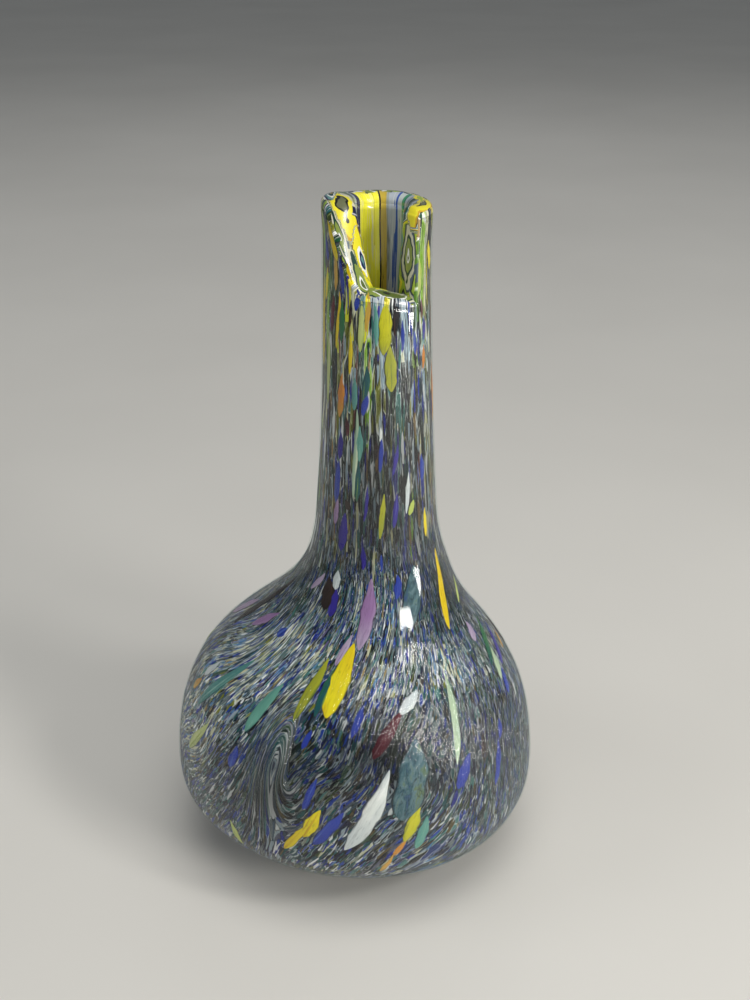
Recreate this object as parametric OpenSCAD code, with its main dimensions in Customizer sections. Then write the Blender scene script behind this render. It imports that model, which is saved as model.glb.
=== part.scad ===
// Hand blown bud vase with a scooped mouth.
// A clear lining carries a coat of fine coloured glass with larger shards let into it, and a clear
// casing covers both. A melted lip closes the layers at the mouth and a pad carries the base.
// The mouth's scoop and the front face -Y, +Z is up, and the origin is under the belly's centre.

/* [Belly] */
// Radius of the belly at its widest
belly_r = 45.8; // [42:0.1:50]
// Height of the widest point
belly_z = 22.5; // [20:0.5:26]
// How far the belly stays full above its widest point
shoulder_pull = 43.5; // [38:0.5:46]
// Radius of the flat base
base_r = 20; // [18:0.5:24]
// Sideways shift of the base from the belly's centre
base_shift = 6.5; // [0:0.5:8]

/* [Neck] */
// Height where the shoulder becomes the neck
neck_z = 96; // [90:1:100]
// Outer radius at the bottom of the neck
neck_r = 14.3; // [13.5:0.1:16]
// Outer radius at the mouth
mouth_r = 12; // [11.5:0.1:13]
// Sideways shift of the neck from the belly's centre
neck_shift = 5.6; // [0:0.1:8]

/* [Mouth] */
// Height of the rim at the back
rim_z = 165; // [150:1:180]
// How much higher the rim stands on its left side
rim_rise = 1.5; // [0:0.1:3]
// Depth of the scoop at the foot of its slant
scoop_depth = 15; // [8:0.5:22]
// Extra depth that the scoop's floor gains to the right
scoop_fall = 2; // [0:0.5:3]
// Height of the rounded lip
lip_h = 2.2; // [1.5:0.1:3]

/* [Hollow] */
// Radius of the bore in the neck
bore_r = 5.2; // [4.5:0.1:6]
// Sideways shift of the bore from the neck's centre
bore_shift = 0.9; // [0:0.1:1.2]
// Radius of the hollow in the belly
hollow_r = 38.8; // [34:0.1:39]
// Height of the hollow's floor
floor_z = 13; // [12:0.5:14]

/* [Glass layers] */
// Thickness of the clear casing
casing_t = 0.9; // [0.6:0.1:1.4]
// Thickness of the coloured coat
coat_t = 1.4; // [1:0.1:1.8]
// Thickness of the pad under the base
pad_t = 3; // [2:0.5:4]

/* [Hidden] */

// Facets around the vase, and up each stretch of its outline
sides = 40;
lower_steps = 6;
upper_steps = 11;
floor_steps = 5;
roof_steps = 9;
neck_steps = 6;
arc_steps = 7;
pad_sides = 96;

step_az = 50;        // azimuth of the scoop's steep right side
step_width = 4.5;    // how many degrees that side takes
step_gather = 0.6;   // how much closer the columns stand there
gather_reach = 12;
slant_start = -70;   // azimuth where the scoop's slant leaves the rim
slant_end = -14;     // azimuth where the slant meets the scoop's floor
rise_az = -90;       // azimuth of the rim's highest point
rise_reach = 35;
bend_low = 48;       // the centre line leans over between these two heights
bend_high = 80.5;
inner_d = casing_t + coat_t;
cut_z = rim_z - lip_h;

// Handles that shape the curves of the outside and of the hollow
base_flare = 8.5;    // outwards from the edge of the base
belly_drop = 9.5;    // down from the widest point
neck_sweep = 1.5;    // outwards and down from the bottom of the neck
neck_pull = 40.5;
hollow_rise = 4;     // the hollow is widest this much above the belly's widest point
floor_reach = 7;     // how far the flat floor stops short of the hollow's wall
floor_drop = 9;
roof_pull = 28;
throat_sweep = 3;
throat_pull = 27;
throat_z = neck_z + 2;
lip_lean = 0.5;      // how far the lip's crown tips over a slope of the cut
lip_least = 0.35;    // the share of its height that the lip keeps on a steep cut
pad_bevel = [0.6, 2]; // rounds the pad's lower edge in two steps

// The outline of a shard
chip_steps = 4;
chip_sides = 8;
chip_taper = 0.62;   // how much narrower its ends are than its middle
chip_spare = 5;      // how much deeper than the coat its plug is cut

// Each shard is [azimuth, height, length, width, lean, bend]: degrees and millimetres,
// with the lean clockwise from upright as seen from outside.
yellow = [[-10, 61.5, 17, 4.6, 5, 0], [13, 134, 26, 2.6, -8, 0], [62, 76, 18, 1.8, 10, 0],
          [54, 93, 8, 1.4, 0, 0], [150, 66, 20, 4, -8, 1], [215, 120, 30, 2.6, 4, 0]];
olive = [[-20.5, 59.5, 15, 2.2, 8, 0], [20, 31, 9, 2.2, 8, 0], [186, 58, 16, 3, -10, 0],
         [112, 102, 22, 2.4, 0, 0]];
lilac = [[-5.2, 75.5, 14, 3, 3, 0], [120, 70, 16, 3.4, 6, 0], [-128, 44, 14, 3, 14, 0]];
window = [[28.5, 76, 14, 5, 22, 0], [18.5, 41.5, 14, 7.2, 4, 0], [-105, 68, 16, 5, -10, 0]];
brown = [[-32, 76, 8, 3.2, -12, 0], [-30.5, 102, 5, 1.2, 0, 0], [100, 54, 12, 3, 10, 0],
         [-160, 30, 10, 3, 30, 0]];
maroon = [[13.5, 53, 13, 2.7, 40, 0], [-56, 141, 9, 1.7, 0, 0], [168, 40, 12, 2.8, -30, 0]];
celadon = [[38.5, 52.5, 18, 2, 4, 1.2], [-24.5, 110, 22, 1.2, 0, 0], [-150, 72, 18, 2, 0, 0]];
cobalt = [[38.5, 39, 7, 3.1, 2, 0], [-7, 31.5, 12, 3.4, 32, 0], [53, 37, 11, 2, -2, 0],
          [-14, 40, 8, 1.6, 25, 0], [-176, 86, 14, 2.4, 0, 0]];
white = [[4.5, 36, 22, 4.6, 25, 1.5], [140, 34, 20, 4.4, -25, 1.5], [-80, 72, 12, 2, 8, 0]];
teal = [[-61, 54, 20, 3, 22, 0], [-18, 114, 9, 1.2, 0, 0], [-30, 54, 13, 2, 20, 0],
        [128, 48, 16, 3, -15, 0]];
lime = [[-60, 40, 12, 2.2, 30, 0], [-39, 24, 7, 1.6, -20, 0], [-16, 140, 8, 1.2, 0, 0],
        [-108, 46, 16, 2.4, 20, 0]];
indigo = [[-32.5, 91, 10, 2.1, -4, 0], [-6, 124, 7, 1.1, 0, 0], [158, 104, 14, 2.2, 0, 0],
          [78, 38, 12, 2.6, -12, 0]];
green = [[81, 58, 15, 2.5, 36, 0], [-17.5, 102, 9, 1.3, 0, 0], [-13.5, 128.5, 13, 1.2, 4, 0],
         [-90, 98, 20, 2.2, 0, 0]];
amber = [[-38, 123, 11, 1.5, 0, 0], [-77, 46, 6, 2.2, 40, 0], [13, 22, 6, 2, 18, 0],
         [84, 122, 16, 2, 0, 0]];

function ease(t) = t <= 0 ? 0 : t >= 1 ? 1 : t * t * (3 - 2 * t);
function bezier(a, b, c, d, t) =
    pow(1 - t, 3) * a + 3 * t * pow(1 - t, 2) * b + 3 * t * t * (1 - t) * c + pow(t, 3) * d;

// Azimuth of a column, with the columns drawn together at the scoop's steep side
function azimuth(k) =
    let (a = 360 * k / sides - 180, from_step = a - step_az)
    a - step_gather * from_step * exp(-pow(from_step / gather_reach, 2));

// Height of the cut mouth, under the lip
function cut_height(a) =
    let (slant = scoop_depth * ease((a - slant_start) / (slant_end - slant_start)),
         fall = scoop_fall * ease((a - slant_end) / (step_az - slant_end)),
         open = 1 - ease((a - step_az) / step_width + 0.5),
         rise = rim_rise * exp(-pow((a - rise_az) / rise_reach, 2)))
    cut_z + rise - (slant + fall) * open;

// The outer outline as [radius, height], from the pad to the bottom of the neck
lower_side = [for (i = [0:lower_steps])
    bezier([base_r, pad_t], [base_r + base_flare, pad_t],
           [belly_r, belly_z - belly_drop], [belly_r, belly_z], i / lower_steps)];
upper_side = [for (i = [1:upper_steps])
    bezier([belly_r, belly_z], [belly_r, belly_z + shoulder_pull],
           [neck_r + neck_sweep, neck_z - neck_pull], [neck_r, neck_z], i / upper_steps)];
outline = concat(lower_side, upper_side);

// The hollow's outline, from the middle of its floor to the bottom of the bore
hollow_z = belly_z + hollow_rise;
floor_side = [for (i = [0:floor_steps])
    bezier([bore_r / 2, floor_z], [hollow_r - floor_reach, floor_z],
           [hollow_r, hollow_z - floor_drop], [hollow_r, hollow_z], i / floor_steps)];
roof_side = [for (i = [1:roof_steps])
    bezier([hollow_r, hollow_z], [hollow_r, hollow_z + roof_pull],
           [bore_r + throat_sweep, throat_z - throat_pull], [bore_r, throat_z], i / roof_steps)];
hollow = concat(floor_side, roof_side);

function neck_radius(z) =
    mouth_r + (neck_r - mouth_r) * pow(1 - min(1, (z - neck_z) / (rim_z - neck_z)), 2);
function outer_radius(z) =
    z > neck_z ? neck_radius(z) : lookup(z, [for (p = outline) [p[1], p[0]]]);
function bent(z) = ease((z - bend_low) / (bend_high - bend_low));
function centre(z) = neck_shift * bent(z) + base_shift * (1 - ease(z / belly_z));
function bore_centre(z) = (neck_shift + bore_shift) * bent(z);

// A point of the outline moved inwards by d, square to the wall
function inset_point(i, d) =
    let (before = outline[max(0, i - 1)],
         after = outline[min(len(outline) - 1, i + 1)],
         run = (after - before) / norm(after - before))
    i == 0 ? [base_r - 1.5 * d, pad_t] : outline[i] - d * [run[1], -run[0]];

function place(r, z, a, c) = [c + r * sin(a), -r * cos(a), z];

// Rings of points on the surface that lies d inside the outside of the glass
function body_rings(d) = [for (i = [0:len(outline) - 1])
    let (p = inset_point(i, d))
    [for (k = [0:sides - 1]) place(p[0], p[1], azimuth(k), centre(p[1]))]];
function neck_ring(d, s) = [for (k = [0:sides - 1])
    let (a = azimuth(k), z = neck_z + (cut_height(a) - neck_z) * s)
    place(neck_radius(z) - d, z, a, centre(z))];
function outer_rings(d) =
    concat(body_rings(d), [for (j = [1:neck_steps]) neck_ring(d, j / neck_steps)]);

// Rings of points on the hollow's surface, from the floor up to the cut mouth
function bore_ring(s) = [for (k = [0:sides - 1])
    let (a = azimuth(k), z = throat_z + (cut_height(a) - throat_z) * s)
    place(bore_r, z, a, bore_centre(z))];
hollow_rings = concat(
    [for (p = hollow) [for (k = [0:sides - 1]) place(p[0], p[1], azimuth(k), bore_centre(p[1]))]],
    [for (j = [1:neck_steps]) bore_ring(j / neck_steps)]);

function reversed(list) = [for (i = [len(list) - 1:-1:0]) list[i]];
function joined(lists) = [for (l = lists) each l];

// A closed skin through rings of points. The last ring joins the first one when it is looped.
module skin(rings, looped = false) {
    count = len(rings);
    last = looped ? count - 1 : count - 2;
    walls = [for (i = [0:last], k = [0:sides - 1])
        let (m = (k + 1) % sides,
             low = i * sides,
             high = ((i + 1) % count) * sides)
        each [[low + k, high + k, high + m], [low + k, high + m, low + m]]];
    caps = looped ? [] : [[for (k = [0:sides - 1]) k],
                          [for (k = [sides - 1:-1:0]) (count - 1) * sides + k]];
    polyhedron(points = joined(rings), faces = concat(walls, caps), convexity = 6);
}

// The shell of glass between two depths below the outside
module layer(d_out, d_in) {
    skin(concat(outer_rings(d_out), reversed(outer_rings(d_in))), looped = true);
}

// A long chip of glass with thin ends, drawn flat
module chip_outline(length, width, bend) {
    for (i = [0:chip_steps - 1]) {
        hull() {
            chip_disc(i / chip_steps, length, width, bend);
            chip_disc((i + 1) / chip_steps, length, width, bend);
        }
    }
}

module chip_disc(t, length, width, bend) {
    u = 2 * t - 1;
    radius = width / 2 * (1 - chip_taper * u * u);
    translate([2 * bend * (1 - u * u), u * (length / 2 - radius)])
        circle(radius, $fn = chip_sides);
}

// A plug through the wall at one shard's place, square to the surface
module shard_plug(s) {
    z = s[1];
    slope = atan2(outer_radius(z - 1) - outer_radius(z + 1), 2);
    depth = s[2] * s[2] / (8 * belly_r) + chip_spare;
    translate([centre(z), 0, 0])
        rotate([0, 0, s[0]])
            translate([0, -outer_radius(z), z])
                rotate([90 - slope, 0, 0])
                    rotate([0, 0, -s[4]])
                        linear_extrude(height = 2 * depth, center = true)
                            chip_outline(s[2], s[3], s[5]);
}

module shards(list) {
    intersection() {
        layer(casing_t, inner_d);
        for (s = list) shard_plug(s);
    }
}

all_shards = concat(yellow, olive, lilac, window, brown, maroon, celadon, cobalt, white, teal,
                    lime, indigo, green, amber);

module inner_gather() {
    color("lightcyan", 0.5)
        skin(concat(outer_rings(inner_d), reversed(hollow_rings)));
}

module colour_coat() {
    color("darkseagreen")
        difference() {
            layer(casing_t, inner_d);
            for (s = all_shards) shard_plug(s);
        }
}

module outer_casing() {
    color("azure", 0.3) layer(0, casing_t);
}

// The lip's rounded section, square to the cut edge, closes over all three layers
module rim_lip() {
    edge_d = [0, casing_t, inner_d];
    edges = [for (d = edge_d) neck_ring(d, 1)];
    inner_edge = bore_ring(1);
    lean = [for (k = [0:sides - 1])
        let (run = edges[0][(k + 1) % sides] - edges[0][(k + sides - 1) % sides],
             level = norm([run[0], run[1]]))
        atan2(run[2], level)];
    arc = [for (j = [1:arc_steps - 1]) [for (k = [0:sides - 1])
        let (t = 180 * j / arc_steps,
             a = azimuth(k),
             middle = (edges[0][k] + inner_edge[k]) / 2,
             half = (inner_edge[k] - edges[0][k]) / 2,
             back = -lip_lean * lip_h * sin(lean[k]),
             up = lip_h * max(lip_least, cos(lean[k])))
        middle - half * cos(t) + sin(t) * [back * cos(a), back * sin(a), up]]];
    color("honeydew", 0.6)
        skin(concat([edges[0]], arc, [inner_edge, edges[2], edges[1]]), looped = true);
}

module base_pad() {
    color("lightgray", 0.6)
        translate([centre(0), 0, 0])
            rotate_extrude($fn = pad_sides)
                polygon([[0, 0], [base_r - pad_bevel[1], 0],
                         [base_r - pad_bevel[0], pad_bevel[0]], [base_r, pad_bevel[1]],
                         [base_r, pad_t], [0, pad_t]]);
}

module yellow_shards() { color("gold") shards(yellow); }
module olive_shards() { color("olivedrab") shards(olive); }
module lilac_shards() { color("thistle") shards(lilac); }
module window_shards() { color("lightsteelblue") shards(window); }
module brown_shards() { color("saddlebrown") shards(brown); }
module maroon_shards() { color("maroon") shards(maroon); }
module celadon_shards() { color("darkseagreen") shards(celadon); }
module cobalt_shards() { color("royalblue") shards(cobalt); }
module white_shards() { color("ivory") shards(white); }
module teal_shards() { color("teal") shards(teal); }
module lime_shards() { color("yellowgreen") shards(lime); }
module indigo_shards() { color("midnightblue") shards(indigo); }
module green_shards() { color("darkgreen") shards(green); }
module amber_shards() { color("orange") shards(amber); }

inner_gather();
colour_coat();
outer_casing();
rim_lip();
base_pad();
yellow_shards();
olive_shards();
lilac_shards();
window_shards();
brown_shards();
maroon_shards();
celadon_shards();
cobalt_shards();
white_shards();
teal_shards();
lime_shards();
indigo_shards();
green_shards();
amber_shards();
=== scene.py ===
"""A hand blown bud vase of layered art glass.

A clear lining carries a coat of fine coloured slivers with larger chips of glass let into it.
A clear casing covers both, a melted lip closes the layers at the scooped mouth, and a pad
carries the base. Lengths are in millimetres and angles in degrees, until MM makes them metres.
Azimuth 0 faces -Y, where the mouth is scooped, and azimuth 90 faces +X.
"""

from math import atan2, cos, degrees, exp, hypot, pi, radians, sin

import bpy
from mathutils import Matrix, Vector, noise


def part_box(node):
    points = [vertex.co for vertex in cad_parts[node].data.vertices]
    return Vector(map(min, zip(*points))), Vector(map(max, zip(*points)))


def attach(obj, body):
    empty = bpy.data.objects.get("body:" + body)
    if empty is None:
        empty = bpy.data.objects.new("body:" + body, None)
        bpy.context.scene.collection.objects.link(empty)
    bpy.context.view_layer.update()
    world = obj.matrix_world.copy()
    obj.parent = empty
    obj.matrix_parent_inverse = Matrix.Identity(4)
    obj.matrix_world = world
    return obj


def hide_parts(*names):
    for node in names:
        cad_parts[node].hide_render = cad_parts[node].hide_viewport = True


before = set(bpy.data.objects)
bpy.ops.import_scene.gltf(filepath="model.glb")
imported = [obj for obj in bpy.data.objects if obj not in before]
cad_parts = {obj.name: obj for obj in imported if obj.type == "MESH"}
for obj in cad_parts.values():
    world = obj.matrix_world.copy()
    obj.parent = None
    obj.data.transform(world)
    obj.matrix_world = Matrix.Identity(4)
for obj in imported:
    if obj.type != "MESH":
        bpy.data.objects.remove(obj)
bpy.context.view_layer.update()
scene = bpy.context.scene

# ---------------- sizes

MM = 0.001


def node_box(node):
    low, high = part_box(node)
    return [v / MM for v in low], [v / MM for v in high]


body_low, body_high = node_box("outer_casing")
lip_low, lip_high = node_box("rim_lip")
pad_low, pad_high = node_box("base_pad")

RIM_RISE = 1.5
BELLY_R = (body_high[0] - body_low[0]) / 2
MOUTH_R = (lip_high[0] - lip_low[0]) / 2
NECK_SHIFT = (lip_high[0] + lip_low[0]) / 2
RIM_Z = lip_high[2] - RIM_RISE
BASE_R = (pad_high[0] - pad_low[0]) / 2
BASE_SHIFT = (pad_high[0] + pad_low[0]) / 2
PAD_T = pad_high[2]

# The outer wall: where its curves meet, and how far each curve is pulled on past there
BELLY_Z = 22.5
SHOULDER_PULL = 43.5
BASE_FLARE = 8.5
BELLY_DROP = 9.5
NECK_Z = 96
NECK_R = 14.3
NECK_SWEEP = 1.5
NECK_PULL = 40.5
BEND_LOW, BEND_HIGH = 48, 80.5  # between these heights the neck steps aside
TOP_Z = RIM_Z + 4  # the outlines run on past the rim, to be cut there

CASING_T, COAT_T = 0.9, 1.4
CASING_SHARE = 0.2  # of the depth that the coat is seen at
SKIN_GAP = 0.02  # between skins, so that none lies in another
LIP_H = 2.2

# The cut: the scoop slants down on the left, falls on to the right and ends in a steep step
SCOOP_DEPTH, SCOOP_FALL = 17, 2
SLANT_START, SLANT_END = -70, -14
STEP_AZ, STEP_WIDTH = 50, 4.5
RISE_AZ, RISE_WIDTH = -90, 35
# The mesh's columns are drawn together at the step: by how much and how far from it
GATHER, GATHER_REACH = 0.6, 12

# The hollow, from its floor over its widest place to the throat, and the bore above that
BORE_R, BORE_SHIFT = 5.2, 0.9
HOLLOW_R, HOLLOW_Z = 38.8, BELLY_Z + 4
FLOOR_R, FLOOR_Z, THROAT_Z = 0.4, 13, NECK_Z + 2
FLOOR_PULL, FOOT_PULL, ROOF_PULL, THROAT_PULL, THROAT_SWEEP = 7, 9, 28, 27, 3
MOUTH_FLARE, FLARE_H = 0.8, 24  # how much wider the bore opens over its last stretch

# The scoop's front edge is drawn in a little: azimuth, width and drop of the tuck, and its depth
TUCK_AZ, TUCK_WIDTH, TUCK_DROP, TUCK = 5, 40, 9, 1.6
# The thick casing bends light so that the coat seems to lie this far under the surface, and it
# comes up to the surface over the last stretch below the lip
SEEN_DEPTH, LEAST_DEPTH, MELT_H = 0.35, 0.05, 7

# The meshes' columns, the rings of the hollow and the bore, and the steps between other rings
COLUMNS, HOLLOW_RINGS, BORE_RINGS = 320, 100, 50
COAT_STEP, CASING_STEP, LINING_STEP, HIDDEN_STEP = 0.9, 1.6, 5.0, 6.0
# How far the hand blown wall strays from its outline, and how fast round it and up it
WOBBLE, WOBBLE_ROUND, WOBBLE_UP = 0.22, 1.4, 28


def ease(t):
    t = min(1.0, max(0.0, t))
    return t * t * (3 - 2 * t)


def bell(t):
    """A bell-shaped curve: 1 at 0 and almost 0 from 2 on."""
    return exp(-(t ** 2))


def bezier(a, b, c, d, t):
    u = 1 - t
    return tuple(u**3 * p + 3 * t * u * u * q + 3 * t * t * u * r + t**3 * s
                 for p, q, r, s in zip(a, b, c, d))


def centre(z, shift=NECK_SHIFT, base=BASE_SHIFT):
    """How far the wall's centre stands off to +X at a height."""
    return shift * ease((z - BEND_LOW) / (BEND_HIGH - BEND_LOW)) + base * (1 - ease(z / BELLY_Z))


def away(az, az0):
    """How far one azimuth is from another, the short way round."""
    return (az - az0 + 180) % 360 - 180


def cut_height(az):
    """Height of the cut mouth under the lip, with the scoop's slant, floor and steep right side."""
    az = (az + 180) % 360 - 180
    slant = SCOOP_DEPTH * ease((az - SLANT_START) / (SLANT_END - SLANT_START))
    fall = SCOOP_FALL * ease((az - SLANT_END) / (STEP_AZ - SLANT_END))
    is_open = 1 - ease((az - STEP_AZ) / STEP_WIDTH + 0.5)
    rise = RIM_RISE * bell((az - RISE_AZ) / RISE_WIDTH)
    return RIM_Z - LIP_H + rise - (slant + fall) * is_open


class Outline:
    """A wall's outline from the bottom up, measured by the path length along it."""

    STEP = 0.5

    def __init__(self, points):
        self.r, self.z, carried = [], [], 0.0
        for (r0, z0), (r1, z1) in zip(points, points[1:]):
            length = hypot(r1 - r0, z1 - z0)
            while carried < length:
                t = carried / length
                self.r.append(r0 + (r1 - r0) * t)
                self.z.append(z0 + (z1 - z0) * t)
                carried += self.STEP
            carried -= length

    def at(self, s):
        """Radius, height and outward normal at a path length."""
        i = min(len(self.r) - 2, max(0, int(s / self.STEP)))
        t = s / self.STEP - i
        r = self.r[i] + (self.r[i + 1] - self.r[i]) * t
        z = self.z[i] + (self.z[i + 1] - self.z[i]) * t
        a, b = max(0, i - 2), min(len(self.r) - 1, i + 3)
        dr, dz = self.r[b] - self.r[a], self.z[b] - self.z[a]
        run = hypot(dr, dz)
        return r, z, dz / run, -dr / run

    def path_at_height(self, z):
        """Path length where the outline first reaches a height."""
        for i, height in enumerate(self.z):
            if height >= z:
                return i * self.STEP
        return (len(self.r) - 1) * self.STEP


def outer_outline():
    low = [bezier((BASE_R, PAD_T), (BASE_R + BASE_FLARE, PAD_T),
                  (BELLY_R, BELLY_Z - BELLY_DROP), (BELLY_R, BELLY_Z), i / 60) for i in range(60)]
    high = [bezier((BELLY_R, BELLY_Z), (BELLY_R, BELLY_Z + SHOULDER_PULL),
                   (NECK_R + NECK_SWEEP, NECK_Z - NECK_PULL), (NECK_R, NECK_Z), i / 120)
            for i in range(120)]
    neck = [(MOUTH_R + (NECK_R - MOUTH_R) * (1 - t) ** 2, NECK_Z + (TOP_Z - NECK_Z) * t)
            for t in (i / 80 for i in range(81))]
    return Outline(low + high + neck)


def hollow_outline():
    floor = [bezier((FLOOR_R, FLOOR_Z), (HOLLOW_R - FLOOR_PULL, FLOOR_Z),
                    (HOLLOW_R, HOLLOW_Z - FOOT_PULL), (HOLLOW_R, HOLLOW_Z), i / 40)
             for i in range(40)]
    roof = [bezier((HOLLOW_R, HOLLOW_Z), (HOLLOW_R, HOLLOW_Z + ROOF_PULL),
                   (BORE_R + THROAT_SWEEP, THROAT_Z - THROAT_PULL), (BORE_R, THROAT_Z), i / 80)
            for i in range(80)]
    return Outline(floor + roof + [(BORE_R, THROAT_Z), (BORE_R, TOP_Z)])


OUTSIDE = outer_outline()
HOLLOW = hollow_outline()
NECK_PATH = OUTSIDE.path_at_height(NECK_Z)


def azimuth(k, columns=COLUMNS):
    """Azimuth of a column, with the columns drawn together at the scoop's steep side."""
    a = 360 * k / columns - 180
    off = a - STEP_AZ
    return a - GATHER * off * bell(off / GATHER_REACH)


def tuck(az, z):
    """How far the wall is drawn in under the scoop."""
    drop = max(0.0, cut_height(TUCK_AZ) - z) / TUCK_DROP
    return TUCK * bell(away(az, TUCK_AZ) / TUCK_WIDTH) * max(0.0, 1 - drop) ** 1.5


def wall_point(az, s, depth=0.0):
    """A point on the outside of the glass, or so deep in it, in metres."""
    r, z, nr, nz = OUTSIDE.at(s)
    a = radians(az)
    round_x, round_y = WOBBLE_ROUND * cos(a), WOBBLE_ROUND * sin(a)
    wave = noise.noise(Vector((round_x, round_y, z / WOBBLE_UP)))
    r += WOBBLE * wave - tuck(az, z)
    c = centre(z)
    r, z = r - depth * nr, z - depth * nz
    return Vector((c + r * sin(a), -r * cos(a), z)) * MM


def seen_depth(az, s):
    """How far under the surface the coat is drawn."""
    below = cut_height(az) - OUTSIDE.at(s)[1]
    return LEAST_DEPTH + (SEEN_DEPTH - LEAST_DEPTH) * ease(below / MELT_H)


def bore_point(az, s):
    """A point on the wall of the hollow, in metres."""
    r, z, _, _ = HOLLOW.at(s)
    r += MOUTH_FLARE * ease((z - RIM_Z + FLARE_H) / FLARE_H)
    a = radians(az)
    c = centre(z, NECK_SHIFT + BORE_SHIFT, 0)
    return Vector((c + r * sin(a), -r * cos(a), z)) * MM


# ---------------- how the colours flowed

# Where the hot glass was swirled: azimuth, height, reach and turn of each swirl
SWIRLS = [
    (-66, 36, 9, 35), (22, 42, 8, -30), (-8, 44, 8, 25), (-80, 60, 12, 40), (72, 44, 11, 30),
    (118, 38, 14, -90), (160, 60, 13, 80), (-150, 34, 15, 100), (-118, 62, 12, -60),
    (-172, 74, 9, 50)]
# Where it was folded over: azimuth, height, reach and way of each fold, up like an arch or down
FOLDS = [(-21, 43, 5.5, -1), (146, 44, 9, 1), (-140, 66, 8, -1)]
FOLD_STRETCH = 2.6
TOO_WEAK = 0.001  # swirls and folds are left out where so little of them is felt
# The surface ripples over the belly and is smooth above it
RIPPLE, RIPPLE_Z, RIPPLE_FADE = 3.2, 60, 9
# The streaks lean to the left as they go down over the belly, though less so on the right
LEAN_TOP, LEAN_FOOT, LEAN_TURN, LEAN_GROWTH = 76, 22.5, 33, 1.6
STEADY_AZ, STEADY_REACH, STEADY = 42, 24, 0.55


def path_of(z):
    return OUTSIDE.path_at_height(z)


def spots(rows):
    """Each row with the path length and the wall's radius in place of its height."""
    return [(az, path_of(z), OUTSIDE.at(path_of(z))[0], *rest) for az, z, *rest in rows]


SWIRL_SPOTS, FOLD_SPOTS = spots(SWIRLS), spots(FOLDS)
LEAN_FROM, LEAN_TO = path_of(LEAN_TOP), path_of(LEAN_FOOT)


def unfold(az, s):
    """The place where the glass at this spot lay before it was folded over."""
    for az0, s0, r0, reach, way in FOLD_SPOTS:
        x = radians(away(az, az0)) * r0
        y = (s - s0) * way / FOLD_STRETCH
        near = exp(-(x * x + y * y) / (reach * reach))
        if near < TOO_WEAK:
            continue
        if y > 0:
            out = hypot(x, y)
            run = out * (pi / 2 - atan2(x, y))
        else:
            out = abs(x)
            run = y if x > 0 else pi * out - y
        az = az0 + degrees((x + near * (out - x)) / r0)
        s = s0 + way * FOLD_STRETCH * (y + near * (run - y))
    return az, s


def flow(az, s):
    """The place where the glass at this spot would lie if nothing had swirled or leaned."""
    az, s = unfold(az, s)
    for az0, s0, r0, reach, turn in SWIRL_SPOTS:
        x = radians(away(az, az0)) * r0
        y = s - s0
        near = exp(-(x * x + y * y) / (reach * reach))
        if near < TOO_WEAK:
            continue
        t = radians(turn) * near
        x, y = x * cos(t) - y * sin(t), x * sin(t) + y * cos(t)
        az, s = az0 + degrees(x / r0), s0 + y
    down = max(0.0, (LEAN_FROM - s) / (LEAN_FROM - LEAN_TO))
    steady = 1 - STEADY * bell(away(az, STEADY_AZ) / STEADY_REACH)
    az += LEAN_TURN * steady * down ** LEAN_GROWTH
    return az, s


# Where the coat is lighter (above 0) or darker: azimuth, height, reach and strength
# The spots are partly the coat's own lighter and darker zones and partly painted light and shade.
TONES_AND_SHADE = [
    (-60, 58, 16, 1.1), (-38, 62, 10, 0.7), (-66, 40, 13, 0.9), (5, 60, 9, 0.8), (49, 60, 10, 1.1),
    (66, 70, 11, -1.1), (7, 51, 9, -1.0), (0, 76, 9, 0.8), (60, 76, 12, -0.9), (44, 45, 14, -0.9),
    (-21, 44, 8, -0.8), (-27, 35, 7, -0.9), (-8, 45, 14, -0.9), (20, 48, 11, -1.5),
    (-40, 32, 14, -0.5), (20, 36, 10, -0.3), (62, 40, 17, -0.7), (-80, 78, 12, -0.9),
    (2, 112, 11, -1.1), (0, 101, 18, -0.6), (0, 91, 14, -1.2), (50, 90, 9, -0.4),
    (-50, 112, 9, 1.1), (48, 134, 10, 0.9), (130, 60, 22, 0.6), (-150, 40, 22, -0.6),
    (170, 30, 18, 0.4), (-110, 50, 16, 0.5), (105, 30, 14, -0.5), (-130, 80, 16, 0.4),
    (150, 110, 20, -0.5)]
TONE_AND_SHADE_SPOTS = spots(TONES_AND_SHADE)


# The coat's own tone with painted light and shade at a spot: the sum of the spots' strengths.
def tone_and_shade(az, s):
    total = 0.0
    for az0, s0, r0, reach, strength in TONE_AND_SHADE_SPOTS:
        x = radians(away(az, az0)) * r0
        total += strength * exp(-(x * x + (s - s0) ** 2) / (reach * reach))
    return total


def around(az, s, radius):
    """The flow's place on a cylinder, which joins up with itself all the way round."""
    a = radians(az)
    return (radius * sin(a), radius * cos(a), s)


# ---------------- meshes


def new_piece(name, points, faces):
    mesh = bpy.data.meshes.new(name)
    mesh.from_pydata([tuple(p) for p in points], [], faces)
    mesh.validate()
    mesh.shade_smooth()
    piece = bpy.data.objects.new(name, mesh)
    scene.collection.objects.link(piece)
    return piece


def give(piece, **layers):
    """Stores values or places, one for each point of a piece, for its material to read."""
    for name, values in layers.items():
        is_place = isinstance(values[0], tuple)
        kind, key = ("FLOAT_VECTOR", "vector") if is_place else ("FLOAT", "value")
        layer = piece.data.attributes.new(name, kind, "POINT")
        layer.data.foreach_set(key, [c for v in values for c in v] if is_place else values)


def unzipped(rows):
    return [list(column) for column in zip(*rows)]


def ring_faces(rings, columns, looped=False):
    """Quads between rings of points. The last ring joins the first one when they are looped."""
    faces = []
    for i in range(rings if looped else rings - 1):
        low, high = i * columns, ((i + 1) % rings) * columns
        for k in range(columns):
            m = (k + 1) % columns
            faces.append((low + k, low + m, high + m, high + k))
    return faces


def stand_for(piece, node, material):
    piece.data.materials.append(material)
    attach(piece, "root")
    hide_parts(node)


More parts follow.
